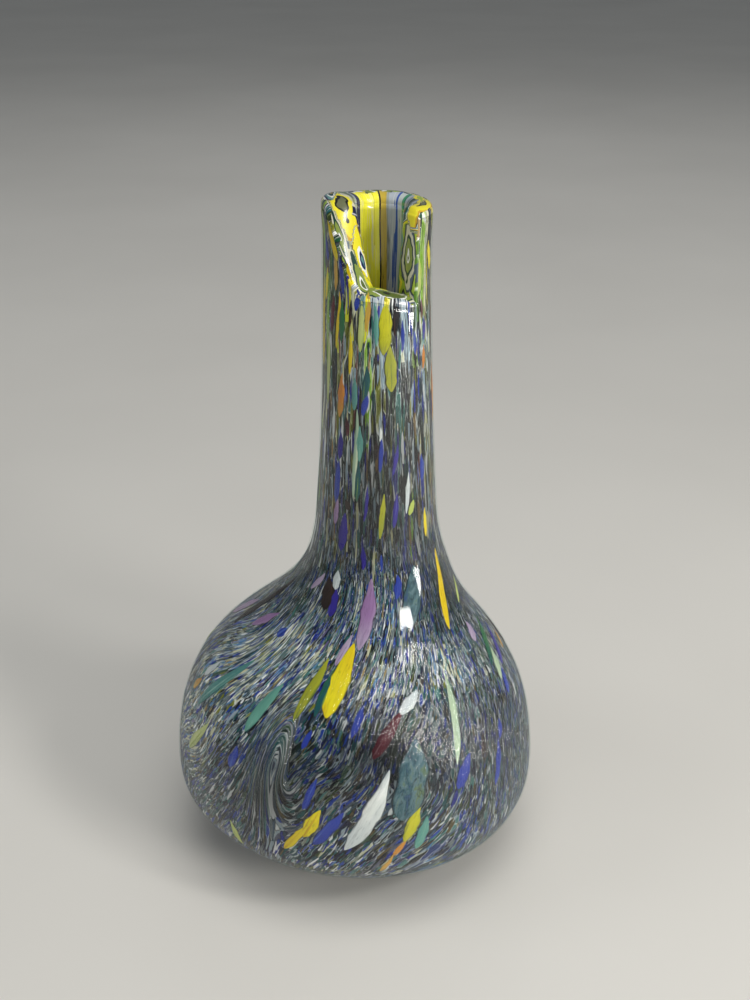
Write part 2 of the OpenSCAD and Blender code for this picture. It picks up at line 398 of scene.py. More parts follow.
def wall_rings(step, columns):
    """Places (azimuth, path) of rings from the base up to the cut mouth."""
    body, up = int(NECK_PATH / step), int((RIM_Z - NECK_Z) / step)
    azimuths = [azimuth(k, columns) for k in range(columns)]
    rings = [[(az, NECK_PATH * i / body) for az in azimuths] for i in range(body)]
    return rings + [[(az, NECK_PATH + (cut_height(az) - NECK_Z) * j / up) for az in azimuths]
                    for j in range(up + 1)]


def shell(name, step, columns, depth_out, depth_in):
    """A closed skin of glass between two depths, each a function of the place, with its places."""
    outer = wall_rings(step, columns)
    inner = wall_rings(HIDDEN_STEP, columns)[::-1]
    places = [p for ring in outer + inner for p in ring]
    outside = len(outer) * columns
    points = [wall_point(az, s, (depth_out if i < outside else depth_in)(az, s))
              for i, (az, s) in enumerate(places)]
    piece = new_piece(name, points, ring_faces(len(outer) + len(inner), columns, looped=True))
    return piece, places


# ---------------- material kit


def srgb(r, g, b):
    """A colour as a painter reads it, 0 to 255, turned into linear light."""
    def linear(v):
        v /= 255
        return v / 12.92 if v <= 0.04045 else ((v + 0.055) / 1.055) ** 2.4
    return (linear(r), linear(g), linear(b), 1.0)


def two(operation):
    """A method that works out one value from two."""
    return lambda graph, a, b: graph.math(operation, a, b)


class Graph:
    """Short names for building one material's nodes."""

    def __init__(self, name):
        self.material = bpy.data.materials.new(name)
        self.material.use_nodes = True
        self.tree = self.material.node_tree
        self.tree.nodes.clear()

    def node(self, kind, values=(), **settings):
        made = self.tree.nodes.new("ShaderNode" + kind)
        for key, value in settings.items():
            setattr(made, key, value)
        for socket, value in dict(values).items():
            self.put(made.inputs[socket], value)
        return made

    def put(self, socket, value):
        if isinstance(value, bpy.types.NodeSocket):
            self.tree.links.new(value, socket)
        else:
            socket.default_value = value

    def attribute(self, name, out="Fac"):
        return self.node("Attribute", attribute_name=name).outputs[out]

    def place(self, name):
        return self.attribute(name, "Vector")

    def math(self, operation, a, b=0.0, c=0.0, clamp=False):
        return self.node("Math", {0: a, 1: b, 2: c}, operation=operation,
                         use_clamp=clamp).outputs[0]

    plus, minus, times = two("ADD"), two("SUBTRACT"), two("MULTIPLY")
    above, below = two("GREATER_THAN"), two("LESS_THAN")

    def scaled(self, vector, size, shift=(0, 0, 0)):
        """The vector over a cell size, so that one cell is 1 across."""
        return self.node("Mapping", {
            "Vector": vector, "Scale": tuple(1 / v for v in size), "Location": shift}).outputs[0]

    def noise(self, vector, size, detail=2.0, distortion=0.0, colour=False, shift=(0, 0, 0)):
        made = self.node("TexNoise", {
            "Vector": self.scaled(vector, size, shift), "Scale": 1.0, "Detail": detail,
            "Distortion": distortion})
        return made.outputs["Color" if colour else "Fac"]

    def warped(self, vector, scale, amount):
        """The vector pushed about by smooth noise."""
        push = self.node("VectorMath", {
            0: self.noise(vector, scale, 1.0, colour=True), 1: (0.5, 0.5, 0.5)},
            operation="SUBTRACT").outputs[0]
        return self.node("VectorMath", {0: push, 1: amount, 2: vector},
                         operation="MULTIPLY_ADD").outputs[0]

    def cells(self, vector, size, shift=(0, 0, 0)):
        """Long cells: three random values of each, and the distance to its edge."""
        place = self.scaled(vector, size, shift)
        cell, edge = (self.node("TexVoronoi", {"Vector": place, "Scale": 1.0}, feature=feature)
                      for feature in ("F1", "DISTANCE_TO_EDGE"))
        parts = self.node("SeparateColor", {0: cell.outputs["Color"]}).outputs
        return parts[0], parts[1], parts[2], edge.outputs["Distance"]

    def ramp(self, value, stops, interpolation="LINEAR"):
        made = self.node("ValToRGB", {0: value})
        ramp = made.color_ramp
        ramp.interpolation = interpolation
        while len(ramp.elements) < len(stops):
            ramp.elements.new(1.0)
        for element, (position, colour) in zip(ramp.elements, stops):
            element.position = position
            element.color = colour
        return made.outputs[0]

    def bands(self, value, bands):
        """The colour of the band that the value is in. Each band has its start and its colour."""
        return self.ramp(value, [(start, srgb(*c)) for start, c in bands], "CONSTANT")

    def palette(self, value, colours):
        """One of the colours, each as likely as the next."""
        return self.bands(value, [(i / len(colours), c) for i, c in enumerate(colours)])

    def step(self, value, low, high):
        return self.node("MapRange", {
            "Value": value, "From Min": low, "From Max": high}).outputs[0]

    def fade(self, value, width):
        """1 where the value is 0, falling to 0 where it reaches the width."""
        return self.minus(1.0, self.step(value, 0.0, width))

    def line(self, value, level, width):
        """1 where the value crosses a level, falling to 0 on both sides."""
        return self.fade(self.math("ABSOLUTE", self.minus(value, level)), width)

    def grain(self, place, size, dark):
        """Fine grain between a grey and white."""
        shades = [(0.3, (dark, dark, dark, 1)), (0.7, (1, 1, 1, 1))]
        return self.ramp(self.noise(place, size, 3.0), shades)

    def mix(self, factor, a, b, blend="MIX", **settings):
        return self.node("Mix", {0: factor, 6: a, 7: b}, data_type="RGBA", blend_type=blend,
                         **settings).outputs[2]

    def contrast(self, colour, gamma, gain):
        """The colour with its darks deepened and its lights lifted."""
        deep = self.node("Gamma", {"Color": colour, "Gamma": gamma}).outputs[0]
        return self.mix(1.0, deep, (gain, gain, gain, 1), "MULTIPLY", clamp_result=True)

    def bump(self, height, distance, strength=1.0):
        return self.node("Bump", {
            "Height": height, "Distance": distance * MM, "Strength": strength}).outputs[0]

    def finish(self, shader):
        self.put(self.node("OutputMaterial").inputs["Surface"], shader)
        return self.material

    def sunken(self, colour, normal):
        """Coloured glass under the clear casing, which has the gloss."""
        return self.node("BsdfPrincipled", {
            "Base Color": colour, "Roughness": 0.5, "IOR": 1.3, "Normal": normal}).outputs[0]

    def glass_paint(self, colour, roughness, normal, coat):
        """Coloured glass that hides what is under it, with a clear glossy surface."""
        return self.node("BsdfPrincipled", {
            "Base Color": colour, "Roughness": roughness, "IOR": 1.5, "Coat Weight": coat,
            "Coat Roughness": 0.04, "Normal": normal}).outputs[0]


# ---------------- colours

WHITE, CREAM, PEARL = (222, 224, 220), (196, 194, 170), (160, 170, 176)
GREY, SLATE, SMOKE = (122, 130, 132), (76, 92, 104), (92, 84, 76)
COBALT, BLUE, SKY = (30, 54, 150), (46, 84, 166), (104, 142, 178)
NAVY, INK, BLACK = (16, 24, 74), (14, 22, 38), (14, 16, 18)
PINE, MOSS, OLIVE = (16, 56, 46), (84, 98, 46), (138, 140, 52)
TEAL, AQUA, LILAC = (34, 104, 106), (96, 140, 136), (120, 112, 148)
LEMON, LIME, GOLD = (222, 210, 40), (150, 176, 48), (196, 156, 40)
MINT, STEEL = (70, 150, 110), (92, 112, 130)
BRONZE, TAN = (112, 98, 60), (158, 138, 96)

LIGHT_SLIVERS = [
    WHITE, PEARL, CREAM, BLUE, GREY, AQUA, PEARL, INK, CREAM, STEEL, SKY, WHITE, TAN, PEARL, CREAM,
    LILAC, OLIVE, COBALT, SLATE, GREY]
DARK_SLIVERS = [
    INK, PINE, NAVY, COBALT, SLATE, TEAL, PEARL, BLUE, MOSS, INK, AQUA, BLACK, SMOKE, STEEL, NAVY,
    WHITE, TEAL, GREY, BRONZE, BLUE]
PATCHES = [
    SLATE, (66, 98, 104), GREY, (56, 84, 120), (84, 106, 86), (106, 108, 124), (48, 76, 90),
    (140, 144, 134), (60, 78, 128), (90, 122, 120)]
NECK_STREAKS = [
    OLIVE, (60, 96, 62), PINE, (22, 62, 84), AQUA, CREAM, INK, WHITE, NAVY, MOSS, INK,
    (128, 70, 50), BLUE, LIME, BLACK, PEARL, TEAL, WHITE, SLATE, BLACK]
RIM_STREAKS = [
    LEMON, PINE, OLIVE, (96, 130, 40), BLUE, LIME, LEMON, TEAL, GOLD, (30, 90, 60), CREAM, NAVY,
    LEMON, (128, 78, 60), LIME, AQUA, LEMON, OLIVE, INK, (120, 140, 52)]
NECK_SLIVERS = [
    WHITE, INK, PEARL, BLUE, OLIVE, BLACK, CREAM, PINE, TAN, SLATE, NAVY, AQUA, GREY, TEAL, PEARL,
    COBALT]

# Dark seams are partly painted shadow in the gaps between slivers, pale seams partly painted
# highlights.
DARK_SEAM_AND_GAP_SHADOW, PALE_SEAM_AND_GLINT = srgb(*BLACK), srgb(*WHITE)
DARK_FROM, PALE_BELOW = 0.42, 0.25  # the chances that give a sliver a dark or a pale seam
DARK_THREADS = 0.48  # above this noise the threads are dark
# Cells: patches, slivers and fine slivers on the belly, streaks and slivers on the neck
PATCH_CELL, SLIVER_CELL, FINE_CELL = (2.8, 2.8, 14), (0.8, 0.8, 3.0), (0.46, 0.46, 1.8)
STREAK_CELL, NECK_CELL = (1.7, 1.7, 26), (0.5, 0.5, 5.5)
SLIVER_SHARE, FINE_SHARE = 0.6, 0.44
DRIFT, LIGHT_FROM, FINE_LIGHT_FROM = 2.4, 0.15, 0.2
# Shares of the rim's height: where the neck's pattern starts and the rim's colours come in, each
# with a ragged edge, and where the neck's slivers thin out
NECK_FROM, NECK_EDGE, RIM_FROM, RIM_EDGE = 0.535, 0.10, 0.93, 0.18
THIN_FROM, THIN_TO, MOST_SLIVERS, THINNED = 0.56, 0.9, 0.88, 0.72
# Gamma and gain of each contrast, and how a spot's tone and painted shade darken the coat
COAT_CONTRAST, NECK_CONTRAST, LIP_CONTRAST = (1.35, 1.7), (1.5, 1.55), (1.35, 1.5)
TONE_AND_SHADE_GAIN, TONE_AND_SHADE_MIDDLE = 0.28, 0.72
CASING_ROUGHNESS, MOST_MIRRORED = 0.09, 0.15


def seams_shade_and_glints(g, colour, edge, chance, dark_width, pale_width):
    """Seams where slivers meet: dark or pale glass, partly painted shadow and highlights."""
    dark = g.times(g.fade(edge, dark_width), g.above(chance, DARK_FROM))
    pale = g.times(g.fade(edge, pale_width), g.below(chance, PALE_BELOW))
    return g.mix(pale, g.mix(dark, colour, DARK_SEAM_AND_GAP_SHADOW), PALE_SEAM_AND_GLINT)


def threads_and_glints(g, colour, place, size, width, strength=0.7):
    """Fine threads, dark in parts and pale in others: partly painted shadow and highlights."""
    line = g.line(g.noise(place, size), 0.5, width)
    part = g.noise(place, (3 * size[0], 3 * size[1], 1.2 * size[2]), shift=(7, 3, 5))
    thread = g.mix(g.above(part, DARK_THREADS), DARK_SEAM_AND_GAP_SHADOW, PALE_SEAM_AND_GLINT)
    return g.mix(g.times(line, strength), colour, thread)


def either(g, is_light, hue):
    """A sliver's colour, out of the light ones or the dark ones."""
    return g.mix(is_light, g.palette(hue, DARK_SLIVERS), g.palette(hue, LIGHT_SLIVERS))


def rounded(g, edge, fine_edge, fine_height):
    """The height of cells that are rounded at their edges, with the fine ones on top."""
    return g.plus(g.step(edge, 0.0, 0.3), g.times(g.step(fine_edge, 0.0, 0.3), fine_height))


def body_pattern(g, place, shade):
    """Slivers on the belly and shoulder: colour and height."""
    place = g.warped(place, (9, 9, 22), (2.2, 2.2, 2.0))
    place = g.warped(place, (2.0, 2.0, 5), (0.6, 0.6, 1.2))
    place = g.warped(place, (0.8, 0.8, 1.8), (0.3, 0.3, 0.6))
    patch_hue = g.cells(place, PATCH_CELL)[0]
    hue, shift, chance, edge = g.cells(place, SLIVER_CELL, (3.1, 7.7, 1.3))
    fine_hue, fine_shift, fine_chance, fine_edge = g.cells(place, FINE_CELL, (11.2, 2.4, 5.6))

    patch = threads_and_glints(g, g.palette(patch_hue, PATCHES), place, (0.8, 0.8, 6), 0.04)
    drift = g.times(g.minus(g.noise(place, (9, 9, 30)), 0.5), DRIFT)
    # The tone and painted light and shade also tip the slivers toward the light or the dark
    # colours.
    light = g.plus(g.plus(shade, drift), g.minus(shift, 0.5))
    sliver = either(g, g.above(light, LIGHT_FROM), hue)
    sliver = seams_shade_and_glints(g, sliver, edge, chance, 0.13, 0.08)
    colour = g.mix(g.below(chance, SLIVER_SHARE), patch, sliver)

    fine_light = g.plus(light, g.minus(fine_shift, 0.5))
    fine = either(g, g.above(fine_light, FINE_LIGHT_FROM), fine_hue)
    fine = seams_shade_and_glints(g, fine, fine_edge, fine_chance, 0.14, 0.08)
    colour = g.mix(g.below(fine_shift, FINE_SHARE), colour, fine)
    return colour, rounded(g, edge, fine_edge, 0.5)


def neck_pattern(g, place, high):
    """Long streaks that the neck was drawn out into, with fine slivers between them lower down:
    colour, chance and height."""
    place = g.warped(place, (7, 7, 50), (1.2, 1.2, 2.0))
    place = g.warped(place, (1.8, 1.8, 14), (0.35, 0.35, 1.2))
    hue, seam, shift, edge = g.cells(place, STREAK_CELL)
    fine_hue, chance, fine_seam, fine_edge = g.cells(place, NECK_CELL, (5.3, 1.9, 8.1))

    near_rim = g.above(g.plus(high, g.times(shift, RIM_EDGE)), RIM_FROM)
    streak = g.mix(near_rim, g.palette(hue, NECK_STREAKS), g.palette(hue, RIM_STREAKS))
    streak = seams_shade_and_glints(g, streak, edge, seam, 0.08, 0.05)
    streak = threads_and_glints(g, streak, place, (0.6, 0.6, 12), 0.035)
    sliver = seams_shade_and_glints(g, g.palette(fine_hue, NECK_SLIVERS), fine_edge, fine_seam, 0.14, 0.08)
    wanted = g.minus(MOST_SLIVERS, g.times(g.step(high, THIN_FROM, THIN_TO), THINNED))
    colour = g.mix(g.below(chance, wanted), streak, sliver)
    colour = threads_and_glints(g, colour, place, (0.45, 0.45, 9), 0.03, 0.6)
    return colour, chance, rounded(g, edge, fine_edge, 0.4)


def coat_material():
    g = Graph("Coloured coat")
    body = g.place("flow_body")
    shade = g.attribute("shade")
    high = g.attribute("up")
    body_colour, body_height = body_pattern(g, body, shade)
    neck_colour, chance, neck_height = neck_pattern(g, g.place("flow_neck"), high)
    neck_colour = g.contrast(neck_colour, *NECK_CONTRAST)
    on_neck = g.above(g.plus(high, g.times(g.minus(chance, 0.5), NECK_EDGE)), NECK_FROM)
    colour = g.contrast(g.mix(on_neck, body_colour, neck_colour), *COAT_CONTRAST)
    colour = g.mix(0.5, colour, g.grain(body, (0.3, 0.3, 4), 0.5), "MULTIPLY")
    # Each spot's tone and painted light and shade darken the coat by so much.
    tone_and_shade_share = g.math("MULTIPLY_ADD", shade, TONE_AND_SHADE_GAIN, TONE_AND_SHADE_MIDDLE, clamp=True)
    colour = g.mix(1.0, colour, tone_and_shade_share, "MULTIPLY")
    normal = g.bump(g.mix(on_neck, body_height, neck_height), 0.06, 0.7)
    return g.finish(g.sunken(colour, normal))


def casing_material():
    """The thin clear casing: it mirrors by Fresnel up to a limit, and lets the rest through."""
    g = Graph("Clear casing")
    place = g.place("flow_body")
    waves = g.noise(place, (6, 6, 14), 1.0)
    ridges = g.noise(place, (0.5, 0.5, 1.4))
    height = g.plus(g.times(waves, 2.0), g.times(ridges, g.attribute("ripple")))
    normal = g.bump(height, 0.09)
    through = g.node("BsdfTransparent", {"Color": (0.96, 0.975, 0.97, 1)})
    gloss = g.node("BsdfGlossy", {
        "Color": (1, 1, 1, 1), "Roughness": CASING_ROUGHNESS, "Normal": normal})
    fresnel = g.node("Fresnel", {"IOR": 1.5, "Normal": normal}).outputs[0]
    inside = g.node("NewGeometry").outputs["Backfacing"]
    amount = g.times(g.math("MINIMUM", fresnel, MOST_MIRRORED), g.minus(1.0, inside))
    mixed = g.node("MixShader", {0: amount, 1: through.outputs[0], 2: gloss.outputs[0]})
    return g.finish(mixed.outputs[0])


# The bands of colour seen inside the mouth, by the turn round the bore that each one starts at
BORE_BANDS = [
    (0.0, OLIVE), (0.05, SLATE), (0.1, AQUA), (0.15, MOSS), (0.2, PEARL), (0.25, PINE),
    (0.3, PEARL), (0.325, (40, 120, 90)), (0.345, MINT), (0.37, (190, 200, 196)), (0.395, BLUE),
    (0.412, (176, 184, 192)), (0.435, (160, 168, 160)), (0.452, (196, 170, 60)), (0.492, INK),
    (0.506, (250, 244, 60)), (0.64, NAVY), (0.665, PEARL), (0.7, (60, 88, 66)), (0.76, CREAM),
    (0.82, NAVY), (0.86, OLIVE), (0.93, INK)]

BORE_SWAY = 0.07


def bore_colours(g, neck):
    """The bands, swaying a little as they go down, with fine threads in them."""
    sway = g.minus(g.noise(neck, (3, 3, 26)), 0.5)
    turn = g.plus(g.attribute("turn"), g.times(sway, BORE_SWAY))
    colour = g.bands(turn, BORE_BANDS)
    return threads_and_glints(g, colour, neck, (1.6, 1.6, 22), 0.03)


def lining_material():
    """The bore's wall, where the colours show through the clear lining, drawn larger."""
    g = Graph("Clear lining over colour")
    neck = g.place("flow_neck")
    grain = g.grain(neck, (0.8, 0.8, 12), 0.55)
    colour = g.mix(0.25, bore_colours(g, neck), grain, "MULTIPLY")
    return g.finish(g.glass_paint(colour, 0.2, g.bump(grain, 0.04, 0.3), coat=1.0))


# The rings of colour round each eye of the agate-like lip: where each starts, and its colour
LIP_RINGS = [
    (0.0, (96, 100, 70)), (0.05, BLACK), (0.07, LEMON), (0.17, GOLD), (0.21, PINE), (0.24, WHITE),
    (0.26, AQUA), (0.3, NAVY), (0.33, WHITE), (0.36, LEMON), (0.44, (120, 84, 40)), (0.47, INK),
    (0.49, MOSS), (0.55, WHITE), (0.57, (124, 140, 60)), (0.63, PINE), (0.66, CREAM), (0.7, SLATE),
    (0.73, BLACK), (0.75, LIME), (0.8, LEMON), (0.87, MOSS), (0.92, WHITE), (0.94, TEAL),
    (0.98, BLACK)]

# How uneven the rings are, how much colour each passes, and how far the wall's streaks come in
RING_PUSH, RING_PACE, WALL_SHARE = 0.9, 0.17, 0.14


def lip_material():
    """The melted layers at the cut: loops of colour round long eyes, between the wall's streaks
    outside and the bore's bands inside."""
    g = Graph("Melted lip")
    place = g.place("rim_place")
    neck = g.place("flow_neck")
    push = g.minus(g.noise(place, (3.0, 3.0, 4.0)), 0.5)
    ring = g.plus(g.attribute("ring"), g.times(push, RING_PUSH))
    index = g.math("FRACT", g.plus(g.times(ring, RING_PACE), g.attribute("eye")))
    colour = g.bands(index, LIP_RINGS)
    wall_colour = g.contrast(neck_pattern(g, neck, g.attribute("up"))[0], *LIP_CONTRAST)
    shift = g.times(push, 0.5)
    is_wall = g.below(g.plus(g.attribute("across"), shift), WALL_SHARE)
    is_bore = g.above(g.plus(g.attribute("inward"), shift), 0.0)
    colour = g.mix(is_wall, colour, wall_colour)
    colour = g.mix(is_bore, colour, bore_colours(g, neck))
    return g.finish(g.glass_paint(colour, 0.3, g.bump(ring, 0.08, 0.4), coat=0.5))


CLOUD_SIZE, TINT_SIZE = 1 / 90, 1 / 6  # in metres: clouds in the pad, tints of the floor


def pad_material():
    g = Graph("Clear base")
    place = g.node("TexCoord").outputs["Object"]
    cloud = g.noise(place, (CLOUD_SIZE,) * 3, 4.0)
    colour = g.ramp(cloud, [(0.3, srgb(120, 136, 134)), (0.7, srgb(176, 186, 180))])
    scratches = g.noise(place, (0.2 * MM, 4 * MM, 4 * MM))
    return g.finish(g.glass_paint(colour, 0.3, g.bump(scratches, 0.03, 0.3), coat=0.3))


# Each kind of chip: its two main colours, the colour of its streaks and that of its seam
CHIP_COLOURS = {
    "yellow": ((234, 216, 26), (226, 194, 22), (204, 160, 24), (66, 58, 24)),
    "olive": ((200, 192, 34), (156, 158, 42), (84, 104, 44), (44, 52, 28)),
    "lilac": ((150, 112, 158), (176, 158, 182), (120, 84, 130), (60, 48, 72)),
    "window": ((88, 114, 122), (52, 84, 92), (40, 66, 112), (30, 44, 50)),
    "brown": ((48, 34, 30), (28, 22, 24), (92, 54, 36), (16, 14, 16)),
    "maroon": ((62, 14, 24), (92, 26, 36), (176, 150, 150), (28, 12, 18)),
    "celadon": ((184, 200, 164), (160, 182, 156), (206, 212, 182), (72, 90, 84)),
    "cobalt": ((34, 54, 146), (44, 62, 156), (84, 110, 182), (20, 28, 70)),
    "white": ((222, 222, 218), (200, 204, 206), (236, 236, 232), (70, 78, 84)),
    "teal": ((100, 156, 140), (78, 134, 130), (136, 176, 162), (46, 80, 80)),
    "lime": ((178, 190, 84), (196, 202, 132), (150, 168, 60), (74, 84, 44)),
    "indigo": ((38, 26, 122), (52, 40, 138), (88, 84, 170), (18, 14, 52)),
    "green": ((40, 104, 62), (22, 78, 84), (128, 158, 60), (16, 40, 34)),
    "amber": ((206, 128, 46), (196, 156, 70), (226, 176, 60), (84, 52, 28)),
}


def streaked(g, place, edge, main, second, streak, seam):
    """Glass with streaks along it and a dark seam round it: colour and normal."""
    slow = g.plus(g.noise(place, (4, 14, 4)), g.times(g.attribute("chip_seed"), 0.2))
    colour = g.mix(g.step(slow, 0.45, 0.75), main, second)
    lines = g.noise(place, (0.7, 12, 0.7), 3.0)
    colour = g.mix(g.step(lines, 0.58, 0.72), colour, streak)
    thread = g.line(g.noise(place, (0.6, 8, 0.6)), 0.42, 0.025)
    colour = g.mix(g.times(thread, 0.35), colour, seam)
    ragged = g.minus(edge, g.times(g.noise(place, (0.7, 2, 0.7)), 0.3))
    return g.mix(g.step(ragged, 0.66, 0.8), colour, seam), g.bump(lines, 0.04, 0.35)


def cloudy(g, place, edge, main, second, streak, seam):
    """See-through glass, with what lies under it as cloudy teal and blue: colour and normal."""
    cloud = g.noise(place, (2.6, 6, 2.6), 3.0, 1.0)
    colour = g.ramp(cloud, [(0.3, streak), (0.44, second), (0.56, main), (0.7, srgb(94, 112, 76))])
    creases = g.line(g.noise(place, (2.0, 5, 2.0), 2.0, 1.2), 0.5, 0.02)
    colour = g.mix(g.step(edge, 0.8, 0.92), g.mix(creases, colour, seam), seam)
    return colour, g.bump(cloud, 0.2, 0.5)


def chip_material(kind):
    g = Graph(kind.capitalize() + " glass")
    look = cloudy if kind == "window" else streaked
    colours = [srgb(*c) for c in CHIP_COLOURS[kind]]
    return g.finish(g.sunken(*look(g, g.place("chip_place"), g.attribute("chip_edge"), *colours)))


def floor_material():
    g = Graph("Pale floor")
    place = g.node("TexCoord").outputs["Object"]
    tint = g.noise(place, (TINT_SIZE,) * 3, 3.0)
    colour = g.ramp(tint, [(0.3, srgb(212, 209, 202)), (0.7, srgb(218, 215, 208))])
    made = g.node("BsdfPrincipled", {"Base Color": colour, "Roughness": 0.6})
    return g.finish(made.outputs[0])


# ---------------- pieces

# Each chip: azimuth, height, length, width and lean, then how far its middle bends aside if it
# does. The lean is clockwise from upright as seen from outside. The chips are blunt at the foot.
CHIPS = {
    "yellow": [
        (-10, 61.5, 18, 4.6, 4), (-54, 158, 9, 1.9, -20), (-67, 148, 8, 1.2, 5),
        (-32, 151, 6, 1, -8), (-28, 134, 10, 0.9, 0), (73, 154, 7, 1.7, -8), (52, 92, 8, 1.1, 0),
        (58, 75, 21, 2.3, 10), (-12, 32, 9, 3, 27), (-17, 27.5, 10, 2.2, 37),
        (150, 66, 20, 4, -8, 1), (215, 120, 30, 2.6, 4), (-158, 52, 14, 3.2, 20, 1),
        (175, 140, 22, 2, 0), (-75, 139, 22, 1.5, 0), (-45, 141, 14, 1, 2)],
    "olive": [
        (9, 140.5, 13, 2.9, 3), (14, 131, 11, 2.7, -2), (-21, 59.5, 16, 2.4, 7),
        (18, 31, 10, 2.9, 25), (5, 96, 12, 1.3, 6), (186, 58, 16, 3, -10), (112, 102, 22, 2.4, 0),
        (-125, 136, 24, 2.4, 0)],
    "lilac": [
        (-4.5, 73.5, 17, 3.3, 0), (-13, 66.5, 8, 1.6, 12), (-51, 77.5, 6, 1.4, 28),
        (-73, 65, 9, 2.4, 36), (-104, 60, 12, 3.2, 27), (70, 63, 6, 2.6, 8),
        (-42, 95.5, 7, 1.4, 6), (120, 70, 16, 3.4, 6), (-128, 44, 14, 3, 14)],
    "window": [
        # The first window chip lies where the shoulder shows a blue-grey sheen, so its colour is
        # partly painted reflection.
        (28.5, 76, 15, 4.6, 11), (18, 42, 20, 8.2, 16, 0.6), (-105, 76, 14, 4.5, -10),
        (140, 46, 14, 6, 10)],
    "brown": [
        (-38, 76, 8, 3.4, -16), (-30, 143, 7, 0.8, 2), (21, 142, 8, 1.4, 3),
        (-29, 98, 3, 1.3, -14), (-1, 112, 5, 1.1, 6), (-88, 66, 22, 2.8, 14, -1),
        (47, 43.5, 6, 1.5, 20), (100, 54, 12, 3, 10), (-160, 30, 10, 3, 30), (-57, 119, 10, 1, 0)],
    "maroon": [
        (12, 52, 13, 3, 35), (-54, 142, 9, 1.4, 3), (-31, 117, 5, 1, -4), (56, 143, 5, 0.9, 0),
        (168, 40, 12, 2.8, -30)],
    "celadon": [
        (37, 52, 23, 1.9, 9, 1), (-21, 111, 23, 1.2, 2), (74, 54, 9, 2.4, 26),
        (-150, 72, 18, 2, 0), (100, 130, 20, 1.8, 0)],
    "cobalt": [
        (37, 40, 9, 3.2, 34), (-7, 31, 12, 2.9, 38), (52, 37, 12, 2, 20), (-13, 39.5, 9, 1.7, 20),
        (57, 44, 5, 1.6, 25), (1, 55, 8, 1.8, 14), (-16, 51, 5, 1.4, 17), (-41, 42.5, 6, 2.4, 10),
        (-54, 66, 3, 2.2, 20), (73, 50, 7, 2.4, 26), (17, 79, 6, 1.8, 6), (4, 84.5, 5, 0.6, 0),
        (4, 111, 9, 1, 2), (50, 106, 7, 1.5, 0), (-42, 103, 11, 1.7, 4), (-12, 123, 6, 1.4, 6),
        (28, 138, 8, 0.8, 2), (43, 136, 6, 1, -2), (-22, 146, 5, 1.3, 6), (-41, 151, 9, 1.2, -5),
        (-67, 156, 6, 1.3, -12), (-176, 86, 14, 2.4, 0), (110, 44, 12, 2.6, 18),
        (-120, 30, 10, 2.8, 30)],
    "white": [
        (4.5, 35.5, 23, 4.2, 28, 1), (-34, 79.5, 5, 2, -2), (21, 57, 7, 2.8, 44),
        (4, 116, 4, 0.6, 3), (31, 101, 11, 1, 6), (-73, 53, 6, 2.4, 20),
        (140, 30, 18, 4.4, -25, 1.5), (-80, 86, 12, 1.6, 4), (130, 110, 18, 1.4, 0),
        (-49, 117, 9, 0.8, 2), (-66, 109, 12, 0.9, 0), (-37, 126, 7, 0.7, 3)],
    "teal": [
        (-62, 53.5, 20, 3, 24), (-17, 113.5, 9, 1.5, 0), (-23, 125, 8, 1.4, 1),
        (-1, 141, 10, 1.2, -3), (-37, 54, 14, 2.8, 14), (21, 28, 9, 2.6, 20),
        (128, 56, 16, 3, -15), (-95, 34, 12, 3, 20)],
    "lime": [
        (-61, 40, 13, 2.8, 32), (-38, 22.6, 7, 1.6, -30), (-17, 140.5, 12, 1.4, 1),
        (52, 150, 9, 1.9, 3), (35, 97, 4, 1.4, 20), (80, 71.5, 8, 1.3, 38),
        (-108, 46, 16, 2.4, 20), (-140, 118, 20, 1.8, 0), (-60, 129, 18, 1.3, 0)],
    "indigo": [
        (-33, 91, 10, 2.3, 4), (-31, 75, 7, 2.3, -10), (-12, 85.5, 6, 1.2, -5),
        (18, 97, 9, 1.3, 6), (19, 109.5, 8, 0.9, 9), (-10, 99, 10, 0.8, 5), (-39, 112, 7, 1.5, 4),
        (2, 144.5, 5, 0.6, -3), (59, 138.5, 6, 1.1, 4), (84, 56, 13, 2.4, 40),
        (158, 104, 14, 2.2, 0), (-100, 90, 14, 2, 0)],
    "green": [
        (77, 59, 15, 2.4, 38), (-19, 104.5, 11, 1.4, 2), (-11, 127.5, 9, 1.5, 4),
        (-40, 141, 10, 1.5, -2), (-15, 59.5, 12, 1.9, 4), (-90, 98, 20, 2.2, 0),
        (120, 130, 24, 2.2, 0)],
    "amber": [
        (-39, 124, 11, 1.8, 3), (-50, 152, 10, 1.2, 1), (-10, 143.5, 9, 1.1, 2),
        (57, 132, 6, 1.1, 3), (-76, 48, 5, 2.2, 34), (10, 20.6, 7, 1.2, 32), (14, 25, 5, 1.4, 40),
        (92, 54, 6, 1.8, 42), (84, 122, 16, 2, 0), (-165, 96, 16, 2, 0)],
}

# How far a chip's middle stands out of the coat, unless half its width is less than FULL_RISE
CHIP_RISE, FULL_RISE = 0.22, 1.2
CHIP_LONG, CHIP_ACROSS = 40, 14
# How blunt a chip's ends are, the share of its width on each side, and the least there
TIP_POWER, FOOT_POWER, END_POWER = 1.5, 2.8, 0.85
CHIP_HALF, LEAST_HALF = 0.56, 0.03
# A chip's edge is where it is near its sides, near its ends or turned under
END_EDGE, UNDER = 6, -0.2
# Waves in a chip's width and in its middle line: size, pace along it, and two numbers that keep
# the waves apart
WIDTH_WAVES, MIDDLE_WAVE = [(0.25, 2.1, 7.3, 0), (0.12, 5, 5.7, 3)], (0.25, 1.6, 3.1, 5)


def chip_wave(t, seed, size, pace, spread, lane):
    return size * noise.noise(Vector((t * pace, seed * spread, lane)))


